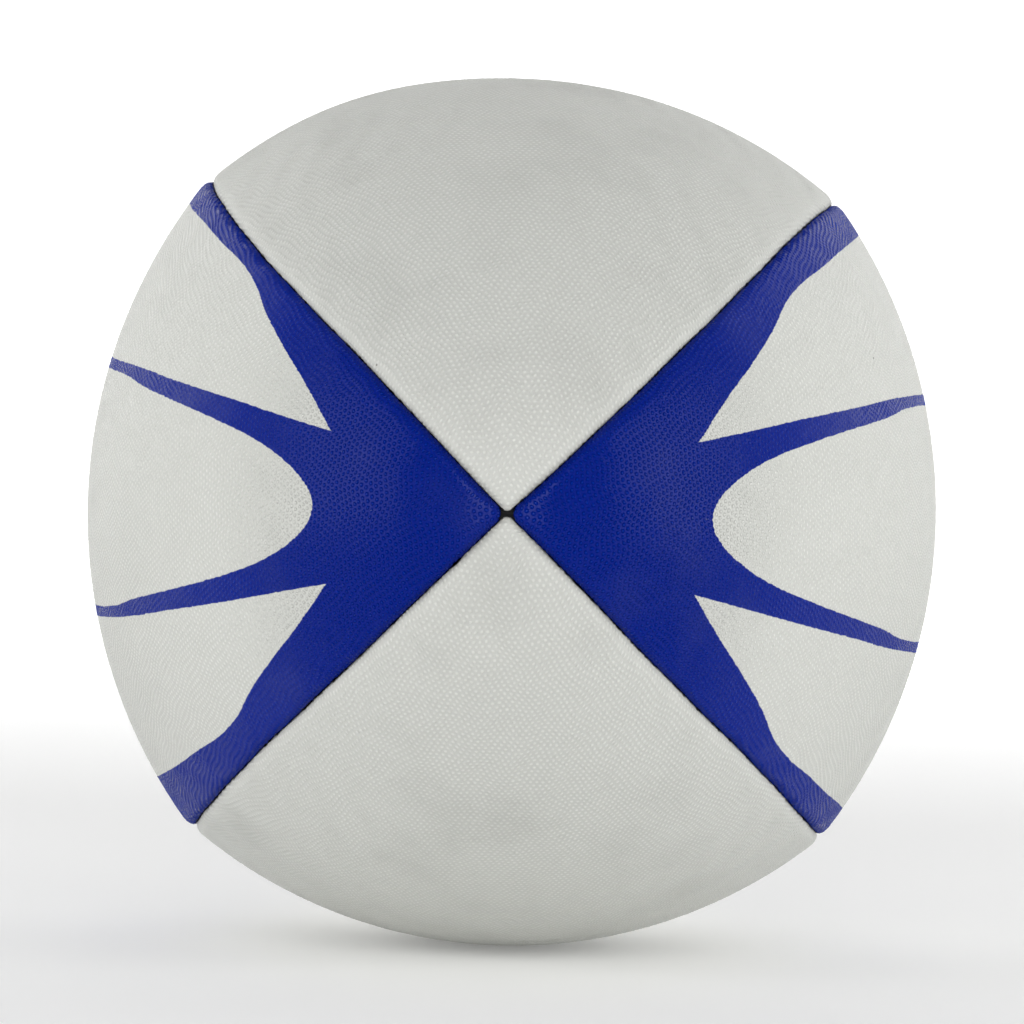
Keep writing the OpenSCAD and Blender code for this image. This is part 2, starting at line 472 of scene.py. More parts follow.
# %% [markdown]
# ## A skin as one closed shell
# A sheet has an outside, an inside and edges. Every row is made twice, pimpled outside and with a
# few plain columns inside, and the two are joined at their rims. A solidify modifier would double
# the pimples on the inside too, where nobody sees them. The random draws give each pimple its own
# height and place, because no two dimples of a hand-finished mould are the same.

# %% A whole skin
INNER_COLUMNS = 9
ROUNDING = 1.3
END_LENGTH = 2.5
EDGE_COLUMNS = 4


def outer_row(panel, s, number, rng):
    """The outside corners of one row: where on the sheet, which are pimple tops, how far they stray."""
    low, high = (float(v) for v in edges(panel, s))
    low, high = (w + float(edge_roll(w)) * (1 - REACH) for w in (low, high))
    shift = number % 2 / 2
    start = math.ceil((-low + 0.3 * NET) / PIMPLE_PITCH - shift)
    stop = math.floor((high - 0.3 * NET) / PIMPLE_PITCH - shift)
    inside = (np.arange(start, stop + 1) + shift) * PIMPLE_PITCH
    deeper = (FLANGE - ROLL / 2) * np.array([0.4, 1.0])
    across = np.concatenate([-low - deeper[::-1], [-low], inside, [high], high + deeper])
    top = np.zeros(len(across))
    top[3:-3] = (number % 3 == 0) * rng.uniform(0.8, 1.15, len(inside))
    stray = rng.uniform(-1, 1, (2, len(across))) * 0.1 * NET
    stray += wavy(s, across) * np.clip((min(low, high) - np.abs(across)) / 3, 0, 1)
    stray[:, :3] = stray[:, -3:] = 0
    return across, top, stray


def skin(name):
    """A rubber sheet as one closed shell: pimpled outside, plain inside, turned in at its edges."""
    panel = panels[name]
    rng = np.random.default_rng(DIRECTION[name] + 11)
    last = int((panel.half - TIP_ROLL - TIP_GAP[name]) / ROW)
    rows = [(i * ROW, 0.0, i) for i in range(-last, last + 1)]
    ends = [(last * ROW + along, drop, last + 1 + k) for k, (along, drop) in enumerate(tip_rows())]
    rows = [(-s, drop, -n) for s, drop, n in reversed(ends)] + rows + ends
    corners, sheet, net, free, outside, rest, previous = [], [], [], [], [], [], None
    count = 0
    for s, drop, number in rows:
        across, top, stray = outer_row(panel, s, number, rng)
        near_end = np.clip((abs(s) - (last * ROW - END_LENGTH)) / END_LENGTH, 0, 1)
        rounded = np.sign(s) * near_end * across ** 2 / (2 * ROUNDING + across ** 2)
        along = s + stray[0] * (1 - near_end) - rounded
        t, depth, bend, from_seam = fold(panel, along, across + stray[1], top * PIMPLE_HEIGHT)
        depth = depth + pucker(along, from_seam) + sink(panel, along)
        depth = np.minimum(depth + drop, FLANGE)
        corners.append(panel.place(along, t, depth))
        sheet.append(np.stack([along, across + stray[1], from_seam], -1))
        net.append(np.stack([np.full(len(across), s), across, np.zeros(len(across))], -1))
        inner_count = max(len(across) - 2 * EDGE_COLUMNS, 0)
        edge_count = min(EDGE_COLUMNS, len(across) - inner_count)
        free += [False] * edge_count + [True] * inner_count
        free += [False] * (len(across) - inner_count - edge_count)
        outer = list(range(count, count + len(across)))
        count += len(across)

        s_in = math.copysign(min(abs(s), last * ROW - 0.2), s)
        low, high = (float(v) - SKIN for v in edges(panel, s_in))
        low, high = max(low, 0.15), max(high, 0.15)
        t_in = np.concatenate([[-low] * 2, np.linspace(-low, high, INNER_COLUMNS), [high] * 2])
        depth_in = np.concatenate([[FLANGE, 3.5], np.full(INNER_COLUMNS, SKIN), [3.5, FLANGE]])
        depth_in = np.minimum(depth_in + sink(panel, s_in) + drop, FLANGE)
        s_row = np.full(len(t_in), s_in)
        corners.append(panel.place(s_row, t_in, depth_in))
        sheet.append(np.stack([s_row, t_in, np.full(len(t_in), -1.0)], -1))
        net.append(np.stack([s_row, t_in, s_row * 0], -1))
        free += [False] * len(t_in)
        inner = list(range(count, count + len(t_in)))
        count += len(t_in)

        if previous:
            outside += zip_rows(previous[0], previous[1], outer, across)
            rest += [(a, b, d, c) for a, b, c, d in zip(previous[2], previous[2][1:], inner, inner[1:])]
            rest += [(previous[0][0], outer[0], inner[0], previous[2][0]),
                     (previous[0][-1], outer[-1], inner[-1], previous[2][-1])]
        else:
            rest.append(outer + inner[::-1])
        previous = (outer, across, inner)
    rest.append(previous[0] + previous[2][::-1])
    faces = turn_edges(outside, free) + rest
    piece = make_piece("skin_" + name + "_pimpled", np.concatenate(corners), faces)
    carry(piece, "sheet", sheet)
    carry(piece, "net", net)
    return piece


skins = {name: skin(name) for name in DIRECTION}
for name, piece in skins.items():
    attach(piece, "ball")
    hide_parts("skin_" + name)
    print(piece.name, len(piece.data.polygons), "faces")

# %% [markdown]
# ## White rubber that has been handled
# The rubber is matt in the hollows, where the mould was left rough, and smoother on the pimples'
# crowns, which hands have polished. So a light shows as a small glint on each crown. Its colour is
# painted darker in the hollows and lighter on the crowns, as painted shade and light on each pimple,
# and the seams are painted near black, a painted shade that draws them as dark lines.
# The material finds the crowns from the same net as the mesh, so the two always agree.

# %% The pattern of the pimples
DRAWN_PITCH = 1.17
CROWN = 0.1 * PIMPLE_PITCH / DRAWN_PITCH
FOOT = 0.45 * PIMPLE_PITCH / DRAWN_PITCH


def pimples(tree):
    """1 on the crown of each pimple, down to 0 in the hollows between them."""
    net = add(tree, "SeparateXYZ", {0: add(tree, "Attribute", attribute_name="net").outputs["Vector"]})
    near_s = add(tree, "Math", {0: net.outputs[0], 1: 1.5 * NET}, operation="PINGPONG")
    near_t = add(tree, "Math", {0: net.outputs[1], 1: PIMPLE_PITCH / 2}, operation="PINGPONG")
    far_s = add(tree, "Math", {0: 1.5 * NET, 1: near_s}, operation="SUBTRACT")
    far_t = add(tree, "Math", {0: PIMPLE_PITCH / 2, 1: near_t}, operation="SUBTRACT")
    to_near = add(tree, "CombineXYZ", {0: near_s, 1: near_t})
    to_far = add(tree, "CombineXYZ", {0: far_s, 1: far_t})
    near = add(tree, "VectorMath", {0: to_near}, operation="LENGTH")
    far = add(tree, "VectorMath", {0: to_far}, operation="LENGTH")
    away = add(tree, "Math", {0: near.outputs["Value"], 1: far.outputs["Value"]}, operation="MINIMUM")
    return add(tree, "MapRange", {0: away, 1: CROWN, 2: FOOT, 3: 1.0, 4: 0.0},
               interpolation_type="SMOOTHSTEP")


def sheet_place(tree):
    """The outputs s, t and the gap to the seam, in millimetres, that each skin's corners carry."""
    sheet = add(tree, "Attribute", attribute_name="sheet")
    return add(tree, "SeparateXYZ", {0: sheet.outputs["Vector"]}).outputs

# %% [markdown]
# ## Handling marks and painted seam shade
# A new ball is one even colour, which looks false. Hands leave wide faint smudges, and a ball picks up
# a few dark specks. Beside the seams the sheet is made darker, more so towards the tips, and in the
# seams it is painted near black, a painted shade of the groove. These could be painted in an image,
# but noise measured in millimetres does it on every panel, and it never shows a seam of its own.

# %% Dust, specks, a darker tone beside the seams and painted shade in them
SMUDGE = 26.3
SPECK_SPACING = 11.76
SPECK = 0.28
SPECK_SHARE = 0.82
SEAM_RAGGED_SIZE = 1.613
TIP_DARKENING = (135.0, 0.16), (172.0, 0.36)


def marks_and_seam_shade(tree, colour, s, gap, seam_darkening_colour, smudge_share):
    """Adds faint smudges, a few specks, a darker tone beside the seams and painted shade in them."""
    spot = add(tree, "TexCoord").outputs["Object"]
    cloud = add(tree, "TexNoise", {"Vector": spot, "Scale": 1 / (SMUDGE * MM), "Detail": 4.0})
    smudge = add(tree, "MapRange", {0: cloud, 1: 0.45, 2: 0.8, 3: 0.0, 4: smudge_share},
                 interpolation_type="SMOOTHSTEP")
    colour = add(tree, "Mix", {0: smudge, 6: colour, 7: "#9A9B96"}, data_type="RGBA").outputs[2]
    cells = add(tree, "TexVoronoi", {"Vector": spot, "Scale": 1 / (SPECK_SPACING * MM)})
    chance = add(tree, "SeparateColor", {0: cells.outputs["Color"]})
    chosen = add(tree, "Math", {0: chance, 1: SPECK_SHARE}, operation="GREATER_THAN")
    dot = add(tree, "Math", {0: cells.outputs["Distance"], 1: SPECK / SPECK_SPACING},
              operation="LESS_THAN")
    speck = add(tree, "Math", {0: chosen, 1: dot}, operation="MULTIPLY")
    thin = add(tree, "Math", {0: speck, 1: 0.6}, operation="MULTIPLY")
    colour = add(tree, "Mix", {0: thin, 6: colour, 7: "#3A3833"}, data_type="RGBA").outputs[2]
    seam_ragged_noise = add(tree, "TexNoise", {"Vector": spot, "Scale": 1 / (SEAM_RAGGED_SIZE * MM), "Detail": 3.0})
    ragged = add(tree, "Math", {0: seam_ragged_noise, 1: 1.0, 2: gap}, operation="MULTIPLY_ADD")
    far_s = add(tree, "Math", {0: s}, operation="ABSOLUTE")
    darker_near_tip = add(tree, "MapRange", {0: far_s, 1: TIP_DARKENING[0][0], 2: TIP_DARKENING[1][0],
                                       3: TIP_DARKENING[0][1], 4: TIP_DARKENING[1][1]})
    # The sheet is made darker beside the seams, and more so towards the tips.
    seam_darkening = add(tree, "MapRange", {0: ragged, 1: 0.4, 2: 2.2, 3: darker_near_tip, 4: 0.0},
               interpolation_type="SMOOTHSTEP")
    colour = add(tree, "Mix", {0: seam_darkening, 6: colour, 7: seam_darkening_colour}, data_type="RGBA").outputs[2]
    # Near black painted where the sheet meets the seam's groove: painted shade.
    seam_painted_shade = add(tree, "MapRange", {0: ragged, 1: 0.5, 2: 0.72, 3: 1.0, 4: 0.0},
                 interpolation_type="SMOOTHSTEP")
    return add(tree, "Mix", {0: seam_painted_shade, 6: colour, 7: "#0B0A0A"}, data_type="RGBA").outputs[2]

# %% [markdown]
# ## The rubber's surface
# Moulded natural rubber has an IOR near 1.5. Its crowns are rubbed smoother than its hollows, so it
# takes two roughnesses. The mould's own grain is about 0.1 mm, too fine to show here, so it is drawn
# nearly four times as coarse, and shallow. The eye sees a dry, chalky white with fine glints.

# %% The white rubber
GRAIN = 0.385
GRAIN_RELIEF = 0.02
# The hollow white is painted darker and the crown white lighter: painted shade and light on the pimples.
SHADED_HOLLOW_WHITE, LIT_CROWN_WHITE = "#CCCDC8", "#DDDED9"


def rubber_surface(tree, shader, crown, colour, gloss, shine, rise):
    """Joins a rubber's colour, its two roughnesses and the relief of its grain and pimples."""
    spot = add(tree, "TexCoord").outputs["Object"]
    grain = add(tree, "TexNoise", {"Vector": spot, "Scale": 1 / (GRAIN * MM), "Detail": 2.0})
    height = add(tree, "Math", {0: crown, 1: rise}, operation="MULTIPLY")
    height = add(tree, "Math", {0: grain, 1: GRAIN_RELIEF, 2: height}, operation="MULTIPLY_ADD")
    relief = add(tree, "Bump", {"Height": height, "Distance": MM, "Strength": 1.0})
    rough = add(tree, "MapRange", {0: crown, 1: 0.0, 2: 1.0, 3: gloss[0], 4: gloss[1]})
    tree.links.new(colour, shader.inputs["Base Color"])
    tree.links.new(rough.outputs[0], shader.inputs["Roughness"])
    tree.links.new(relief.outputs[0], shader.inputs["Normal"])
    shader.inputs["IOR"].default_value = 1.5
    shader.inputs["Specular IOR Level"].default_value = shine
    shader.inputs["Diffuse Roughness"].default_value = 0.4


white_rubber, tree, shader = new_material("white_pimpled_rubber")
s, t, gap = sheet_place(tree)
crown = pimples(tree)
# Painted shade in the hollows and painted light on the crowns, mixed by the crown mask.
pimple_shaded_white = add(tree, "Mix", {0: crown, 6: SHADED_HOLLOW_WHITE, 7: LIT_CROWN_WHITE}, data_type="RGBA").outputs[2]
marked_and_shaded = marks_and_seam_shade(tree, pimple_shaded_white, s, gap, "#716B60", 0.2)
rubber_surface(tree, shader, crown, marked_and_shaded, (0.56, 0.4), 0.35, 0.14)
for name in ("top", "bottom"):
    skins[name].data.materials.append(white_rubber)
print("white_pimpled_rubber has", len(tree.nodes), "nodes")

# %% [markdown]
# ## The printed panels
# The blue is ink, screen printed on the flat sheet before the panels are cut, so it belongs in the
# sheet's own lengths. It leaves two kinds of bare rubber: a long window down the middle, with
# pointed ends, and a sharp notch between each window and the band along each seam.
# The ink is painted darker in the hollows and lighter on the crowns, as painted shade and light on
# each pimple. Lettering is left out.

# The outlines are curves through measured places, all in millimetres: a window's half width, and the
# inner and outer edges of a notch, each against the distance from the ball's middle.

# %% The outlines of the print
WINDOW_END = 132.1
WINDOW_HALF = 24.4
WINDOW = ((0, 1), (0.34, 0.9), (0.47, 0.735), (0.65, 0.517), (0.75, 0.387),
          (0.85, 0.25), (0.95, 0.084), (1, 0))
NOTCH_END = 134.2
NOTCH_SPAN = 100
RAY = ((0, 26.6), (45, 25.2), (62, 24), (72, 22.9), (100, 19.5), (115, 17.2), (NOTCH_END, 14))
BAND = ((0, 62.5), (42, 58), (67, 52.2), (89, 44.8), (102, 36.6), (112, 30.2), (123, 22.9),
        (NOTCH_END, 14))
RAGGED = 0.22
RAGGED_SIZE = 1.429


def print_mask(tree, s, t, slip, skew, lead):
    """1 on ink and 0 on bare rubber. The print slips across by slip + skew * s, and along by lead."""
    spot = add(tree, "TexCoord").outputs["Object"]
    noise = add(tree, "TexNoise", {"Vector": spot, "Scale": 1 / (RAGGED_SIZE * MM), "Detail": 2.0})
    stray = add(tree, "Math", {0: noise, 1: 2 * RAGGED, 2: -RAGGED}, operation="MULTIPLY_ADD")
    print_s = add(tree, "Math", {0: s, 1: lead}, operation="ADD")
    far_s = add(tree, "Math", {0: print_s}, operation="ABSOLUTE")
    slipped = add(tree, "Math", {0: s, 1: skew, 2: slip}, operation="MULTIPLY_ADD")
    print_t = add(tree, "Math", {0: t, 1: slipped}, operation="ADD")
    exact_t = add(tree, "Math", {0: print_t}, operation="ABSOLUTE")
    far_t = add(tree, "Math", {0: exact_t, 1: stray}, operation="ADD")
    curves = []
    ray_line, band_line = ([(x / NOTCH_END, y / NOTCH_SPAN) for x, y in p] for p in (RAY, BAND))
    for end, places in ((WINDOW_END, WINDOW), (NOTCH_END, ray_line), (NOTCH_END, band_line)):
        share = add(tree, "Math", {0: far_s, 1: end}, operation="DIVIDE", use_clamp=True)
        curves.append(add(tree, "FloatCurve", {"Value": share}))
        points = curves[-1].mapping.curves[0].points
        while len(points) < len(places):
            points.new(0.5, 0.5)
        for point, place in zip(points, places):
            point.location = place
        curves[-1].mapping.update()
    square, ray, band = curves
    edge = add(tree, "Math", {0: square, 1: 0.5}, operation="POWER")
    less_t = add(tree, "Math", {0: far_t, 1: -1.0}, operation="MULTIPLY")
    window = add(tree, "Math", {0: edge, 1: WINDOW_HALF, 2: less_t}, operation="MULTIPLY_ADD")
    past_ray = add(tree, "Math", {0: ray, 1: -NOTCH_SPAN, 2: far_t}, operation="MULTIPLY_ADD")
    short = add(tree, "Math", {0: band, 1: NOTCH_SPAN}, operation="MULTIPLY")
    short_of_band = add(tree, "Math", {0: short, 1: far_t}, operation="SUBTRACT")
    before_end = add(tree, "Math", {0: NOTCH_END, 1: far_s}, operation="SUBTRACT")
    short_of_band = add(tree, "Math", {0: short_of_band, 1: before_end}, operation="MINIMUM")
    notch = add(tree, "Math", {0: past_ray, 1: short_of_band}, operation="MINIMUM")
    bare = add(tree, "Math", {0: window, 1: notch}, operation="MAXIMUM")
    return add(tree, "MapRange", {0: bare, 1: 0.02, 2: 0.2, 3: 1.0, 4: 0.0},
               interpolation_type="SMOOTHSTEP")

# %% [markdown]
# ## Ink on rubber
# Screen ink dries to a thin smooth film, so it is glossier than the rubber, yet a deep blue with
# little glare. Near the tips the panel is stretched most over the ball, and its pimples look
# sharper, so their relief rises there.

# %% The printed rubber
INK_RELIEF = (100.0, 0.12), (142.0, 0.45)


def printed(name, slip, skew, lead):
    """Rubber with the blue print, which never lands quite in the middle of a panel."""
    material, tree, shader = new_material(name)
    s, t, gap = sheet_place(tree)
    crown = pimples(tree)
    # Bare rubber and ink are each painted darker in the hollows and lighter on the crowns: painted shade
    # and light on each pimple.
    bare = add(tree, "Mix", {0: crown, 6: SHADED_HOLLOW_WHITE, 7: LIT_CROWN_WHITE}, data_type="RGBA")
    ink = add(tree, "Mix", {0: crown, 6: "#001C82", 7: "#002894"}, data_type="RGBA")
    mask = print_mask(tree, s, t, slip, skew, lead)
    inked = add(tree, "Mix", {0: mask, 6: bare.outputs[2], 7: ink.outputs[2]}, data_type="RGBA")
    marked_and_shaded = marks_and_seam_shade(tree, inked.outputs[2], s, gap, "#0A1030", 0.05)
    far_s = add(tree, "Math", {0: s}, operation="ABSOLUTE")
    rise = add(tree, "MapRange", {0: far_s, 1: INK_RELIEF[0][0], 2: INK_RELIEF[1][0],
                                  3: INK_RELIEF[0][1], 4: INK_RELIEF[1][1]},
               interpolation_type="SMOOTHSTEP")
    rubber_surface(tree, shader, crown, marked_and_shaded, (0.25, 0.2), 0.09, rise)
    return material


skins["right"].data.materials.append(printed("blue_print_on_white_rubber_right", 0.0, 0.0, -1.2))
skins["left"].data.materials.append(printed("blue_print_on_white_rubber_left", 3.5, 0.0242, 1.3))
print("the left print has slipped by 3.5 mm at the ball's middle")

# %% [markdown]
# ## The hole for the valve
# The valve comes out through the middle of the top panel. A punch cuts its hole through the rubber
# and the plies. A boolean with a round cutter does the same, and keeps each shell closed.

# %% Punching the hole
VALVE_HOLE = 4.7
PUNCH_SIDES = 48
PUNCH_LENGTH = 15


def turned(name, profile, steps=64):
    """A closed piece turned about the valve's axis, from a closed profile of radius and height."""
    angles = [2 * math.pi * i / steps for i in range(steps)]
    corners = [(r * math.cos(a), r * math.sin(a), z) for r, z in profile for a in angles]
    return make_piece(name, corners, ring_faces(len(profile), steps))


def punch(piece):
    """Cuts the valve's hole through a piece."""
    high = panels["top"].mid + 5
    sides = range(PUNCH_SIDES)
    angles = [2 * math.pi * i / PUNCH_SIDES for i in sides]
    corners = [(VALVE_HOLE * math.cos(a), VALVE_HOLE * math.sin(a), z)
               for z in (high - PUNCH_LENGTH, high) for a in angles]
    after = [(i + 1) % PUNCH_SIDES for i in sides]
    faces = [(i, after[i], PUNCH_SIDES + after[i], PUNCH_SIDES + i) for i in sides]
    ends = [tuple(sides), tuple(range(2 * PUNCH_SIDES - 1, PUNCH_SIDES - 1, -1))]
    cutter = make_piece("cutter", corners, faces + ends)
    cut = piece.modifiers.new("punch", "BOOLEAN")
    cut.object, cut.solver, cut.operation = cutter, "EXACT", "DIFFERENCE"
    shaped = piece.evaluated_get(bpy.context.evaluated_depsgraph_get())
    mesh = bpy.data.meshes.new_from_object(shaped)
    old = piece.data
    tree = mathutils.kdtree.KDTree(len(old.vertices))
    for vertex in old.vertices:
        tree.insert(vertex.co, vertex.index)
    tree.balance()
    nearest = [tree.find(vertex.co)[1] for vertex in mesh.vertices]
    for label in [a.name for a in old.attributes if a.name in ("sheet", "net")]:
        values = np.zeros(3 * len(old.vertices), np.float32)
        old.attributes[label].data.foreach_get("vector", values)
        if label in mesh.attributes:
            mesh.attributes.remove(mesh.attributes[label])
        place = mesh.attributes.new(label, "FLOAT_VECTOR", "POINT")
        place.data.foreach_set("vector", values.reshape(-1, 3)[nearest].ravel())
    piece.modifiers.clear()
    piece.data = mesh
    bpy.data.objects.remove(cutter)


punch(skins["top"])
print("skin_top after punching:", len(skins["top"].data.polygons), "faces")

# %% [markdown]
# ## Woven plies
# Under each rubber skin lie three plies of plain-woven cotton and polyester, glued on with latex.
# They keep the ball from stretching. Plain weave goes over one yarn and under the next, both ways,
# so in the light it is a fine chequer of little cushions. The latex shows as a slight yellow.

# %% The weave
YARN = 0.8
YARN_RELIEF = 0.12
FUZZ = 0.3125
STAIN = 16.67


def weave(tree, u, v):
    """How high each point of a plain weave stands, from 0 to 1, and which way its yarn runs."""
    turns = [add(tree, "Math", {0: w, 1: math.pi / YARN}, operation="MULTIPLY") for w in (u, v)]
    across_u, across_v = (add(tree, "Math", {0: turn}, operation="SINE") for turn in turns)
    over = add(tree, "Math", {0: across_u, 1: across_v}, operation="MULTIPLY")
    warp_top = add(tree, "MapRange", {0: over, 1: -0.3, 2: 0.3}, interpolation_type="SMOOTHSTEP")
    warp = add(tree, "Math", {0: across_v}, operation="ABSOLUTE")
    weft = add(tree, "Math", {0: across_u}, operation="ABSOLUTE")
    height = add(tree, "Mix", {0: warp_top, 2: weft, 3: warp}, data_type="FLOAT")
    return height, warp_top


def cloth(name, warp_colour, weft_colour):
    """Latex-soaked plain weave. Its yarns follow the sheet."""
    material, tree, shader = new_material(name)
    s, t, _ = sheet_place(tree)
    height, which = weave(tree, s, t)
    spot = add(tree, "TexCoord").outputs["Object"]
    # Fibres are about 0.02 mm, too fine to show, so the fuzz is drawn as clumps of them.
    fuzz = add(tree, "TexNoise", {"Vector": spot, "Scale": 1 / (FUZZ * MM), "Detail": 3.0})
    stain = add(tree, "TexNoise", {"Vector": spot, "Scale": 1 / (STAIN * MM), "Detail": 3.0})
    yarn = add(tree, "Mix", {0: which, 6: weft_colour, 7: warp_colour}, data_type="RGBA")
    low = add(tree, "MapRange", {0: height, 1: 0.0, 2: 0.8, 3: 0.55, 4: 0.0})
    shaded = add(tree, "Mix", {0: low, 6: yarn.outputs[2], 7: "#6B5B3E"}, data_type="RGBA")
    soaked = add(tree, "MapRange", {0: stain, 1: 0.4, 2: 0.7, 3: 0.0, 4: 0.35})
    latex = add(tree, "Mix", {0: soaked, 6: shaded.outputs[2], 7: "#C9AE74"}, data_type="RGBA")
    raised = add(tree, "Math", {0: fuzz, 1: 0.15, 2: height}, operation="MULTIPLY_ADD")
    bump = add(tree, "Bump", {"Height": raised, "Distance": YARN_RELIEF * MM})
    tree.links.new(latex.outputs[2], shader.inputs["Base Color"])
    tree.links.new(bump.outputs[0], shader.inputs["Normal"])
    shader.inputs["Roughness"].default_value = 0.82
    shader.inputs["Sheen Weight"].default_value = 0.25
    return material


ply_cloth = cloth("latexed_cotton_ply", "#D9CDB0", "#CBBE9F")

# %% [markdown]
# ## The plies' shape
# A ply lies close under its skin and turns in at the same seams, so it is made by the same measures,
# a little deeper each time. Offsetting the skin's own mesh would copy the pimples into the cloth.

# %% Shells that follow a panel
PLY = 0.33
PLY_GAP = 0.02
PLY_STEP = 2.5
PLY_COLUMNS = 31
NO_SEAM_NEAR = 9


def shell(name, panel, near, far, length, step, columns):
    """A closed sheet between two depths under a panel, turned in at its seams like the skin."""
    rows = np.linspace(-length, length, int(2 * length / step) + 1)
    corners, sheet = [], []
    for s in rows:
        low, high = (float(v) for v in edges(panel, s))
        for deep in (near, far):
            flat = np.linspace(-(low - deep), high - deep, columns)
            t = np.concatenate([[flat[0]] * 2, flat, [flat[-1]] * 2])
            to_low = low - deep - np.abs(np.minimum(t, 0))
            to_high = high - deep - np.abs(t)
            roll = np.minimum(np.minimum(to_low, to_high) / 2, 1)
            down = deep + 0.9 * (1 - np.clip(roll, 0, 1)) ** 2
            depth = down + float(sink(panel, s))
            depth[:2] = depth[-2:][::-1] = (FLANGE, 3.9)
            corners.append(panel.place(np.full(len(t), s), t, depth))
            flat_t = t + np.sign(t) * (depth - deep)
            sheet.append(np.stack([np.full(len(t), s), flat_t, t * 0 + NO_SEAM_NEAR], -1))
    ring = columns + 4
    faces = []
    for i in range(len(rows)):
        a, b = 2 * i * ring, (2 * i + 1) * ring
        if i + 1 < len(rows):
            for k in range(ring - 1):
                faces.append((a + k, a + k + 1, a + 2 * ring + k + 1, a + 2 * ring + k))
                faces.append((b + k, b + 2 * ring + k, b + 2 * ring + k + 1, b + k + 1))
            for k in (0, ring - 1):
                faces.append((a + k, b + k, b + 2 * ring + k, a + 2 * ring + k))
        else:
            faces += [(a + k, b + k, b + k + 1, a + k + 1) for k in range(ring - 1)]
        if i == 0:
            faces += [(a + k, a + k + 1, b + k + 1, b + k) for k in range(ring - 1)]
    piece = make_piece(name, np.concatenate(corners), faces)
    carry(piece, "sheet", sheet)
    return piece


for name, panel in panels.items():
    for number, layer in enumerate(("outer", "middle", "inner")):
        near = SKIN + 0.05 + number * (PLY + PLY_GAP)
        length = panel.half - 4.5 - 1.5 * near
        ply = shell(f"{layer}_ply_{name}_woven", panel, near, near + PLY, length,
                    PLY_STEP, PLY_COLUMNS)
        if name == "top":
            punch(ply)
        ply.data.materials.append(ply_cloth)
        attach(ply, "ball")
        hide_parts(f"{layer}_ply_{name}")
print("12 plies, each", len(ply.data.polygons), "faces")

# %% [markdown]
# ## The patch behind the valve
# A round of stronger cloth is glued over the hole from inside, so that the valve can't tear it.

# %% The patch
PATCH_RADIUS = 22.0
PATCH_TOP = 1.97
PATCH_THICK = 0.48


def patch():
    """A round of cloth with a hole, laid on the inside of the top panel."""
    panel = panels["top"]
    steps = 96
    angles = np.linspace(0, 2 * math.pi, steps, endpoint=False)
    radii = np.linspace(VALVE_HOLE + 0.05, PATCH_RADIUS, 9)
    rings = [(r, PATCH_TOP) for r in radii] + [(r, PATCH_TOP + PATCH_THICK) for r in radii[::-1]]
    corners, sheet = [], []
    for r, depth in rings:
        s, t = r * np.sin(angles), r * np.cos(angles)
        corners.append(panel.place(s, t, np.full(steps, depth)))
        sheet.append(np.stack([s, t, s * 0 + NO_SEAM_NEAR], -1))
    faces = ring_faces(len(rings), steps)
    piece = make_piece("valve_patch_woven", np.concatenate(corners), faces)
    carry(piece, "sheet", sheet)
    return piece


valve_patch = patch()
valve_patch.data.materials.append(cloth("unbleached_cotton_duck", "#DCCFAF", "#C4B48D"))
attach(valve_patch, "ball")
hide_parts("valve_patch")

# %% [markdown]
# ## Waxed thread
# A ball is sewn inside out with two needles on one seam, each going through every hole from its own
# side. So along both flanges the threads swap sides at each hole. The thread has three plies twisted
# together, which shows as slanting ridges, and the wax makes it stiff and a little shiny.

# %% Sewing a seam
THREAD = 0.4
THREAD_DEPTH = 4.2
THREAD_SIDE = 2.25
TWIST = 1.1


def stitching(name, panel_name, side):
    """Two threads that swap sides of a seam at each stitch."""
    panel = panels[panel_name]
    s = np.arange(-150, 150.01, 0.75)
    steps = 12
    corners, faces = [], []
    for thread in (-1, 1):
        swing = np.clip(3 * np.sin(math.pi * s / STITCH), -1, 1) * THREAD_SIDE * thread
        low, high = edges(panel, s)
        radius, _, lean = panel.outline(s)
        turn = panel.half_width(s) / (radius + panel.offset)
        tilt = np.cos(lean) * np.sin(math.pi / 4 - turn)
        width = high if side > 0 else low
        depth = THREAD_DEPTH + 0.45 * thread * (1 - (swing / THREAD_SIDE) ** 2)
        t = width - swing - depth * tilt / np.sqrt(1 - tilt ** 2)
        path = panel.place(s, side * t, depth)
        ahead = np.gradient(path, axis=0)
        ahead /= np.linalg.norm(ahead, axis=1)[:, None]
        up = np.cross(ahead, np.array([[0, 0, 1.0]]))
        up /= np.linalg.norm(up, axis=1)[:, None]
        out = np.cross(ahead, up)
        base = len(corners) * steps
        for i in range(len(s)):
            a = np.linspace(0, 2 * math.pi, steps, endpoint=False)
            r = THREAD * (0.9 + 0.1 * np.cos(3 * (a - TWIST * s[i])))
            ring = np.cos(a)[:, None] * up[i] + np.sin(a)[:, None] * out[i]
            corners.append(path[i] + r[:, None] * ring)
        faces += [(base + i * steps + j, base + i * steps + (j + 1) % steps,
                   base + (i + 1) * steps + (j + 1) % steps, base + (i + 1) * steps + j)
                  for i in range(len(s) - 1) for j in range(steps)]
        faces.append(tuple(base + j for j in range(steps))[::-1])
        faces.append(tuple(base + (len(s) - 1) * steps + j for j in range(steps)))
    return make_piece("seam_thread_" + name + "_twisted", np.concatenate(corners), faces)


